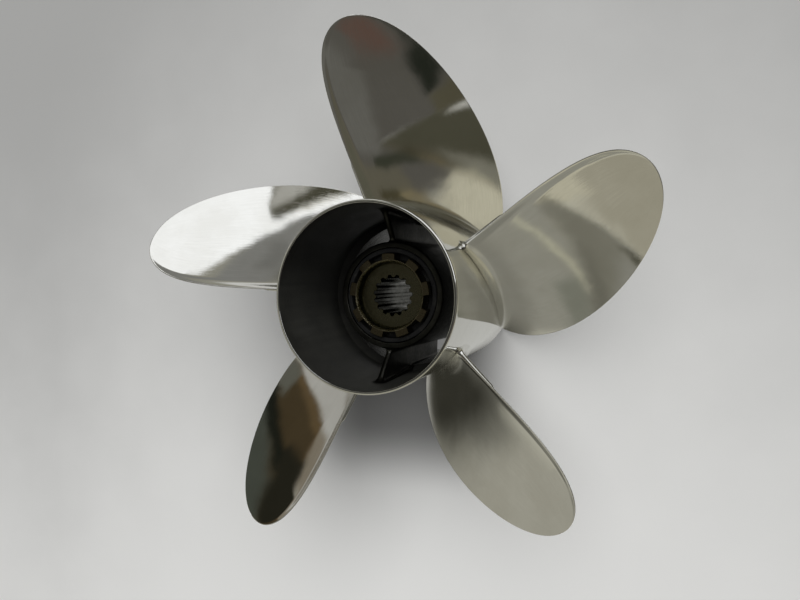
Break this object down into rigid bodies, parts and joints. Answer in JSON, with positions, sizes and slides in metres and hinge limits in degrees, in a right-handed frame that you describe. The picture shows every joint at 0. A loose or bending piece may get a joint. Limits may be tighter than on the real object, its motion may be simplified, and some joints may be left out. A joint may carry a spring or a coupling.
{
  "type": "five-bladed boat propeller with through-hub exhaust",
  "caption": "Right-handed stainless steel boat propeller with raked, cupped blades on a long barrel, exhaust passages round the inner hub and a splined drive adapter.",
  "frame": {"origin": "on the shaft axis, in the plane of the barrel's front face, which the propeller stands on", "axes": "+Z along the shaft axis, aft, towards the exhaust outlet; +X towards the gap clockwise of blade_1's middle, seen from aft; +Y completes the right-handed frame"},
  "size_m": [0.3404, 0.3313, 0.184],
  "materials": {
    "polished_stainless": "polished",
    "cast_stainless": "satin",
    "black_plastic": "matte",
    "bronze": "satin"
  },
  "bodies": {
    "root": {"barrel": "polished_stainless", "inner_hub": "cast_stainless", "rib_upper": "cast_stainless", "rib_lower": "cast_stainless", "drive_sleeve": "black_plastic", "splined_adapter": "bronze", "blade_1": "polished_stainless", "blade_2": "polished_stainless", "blade_3": "polished_stainless", "blade_4": "polished_stainless", "blade_5": "polished_stainless"}
  },
  "joints": []
}
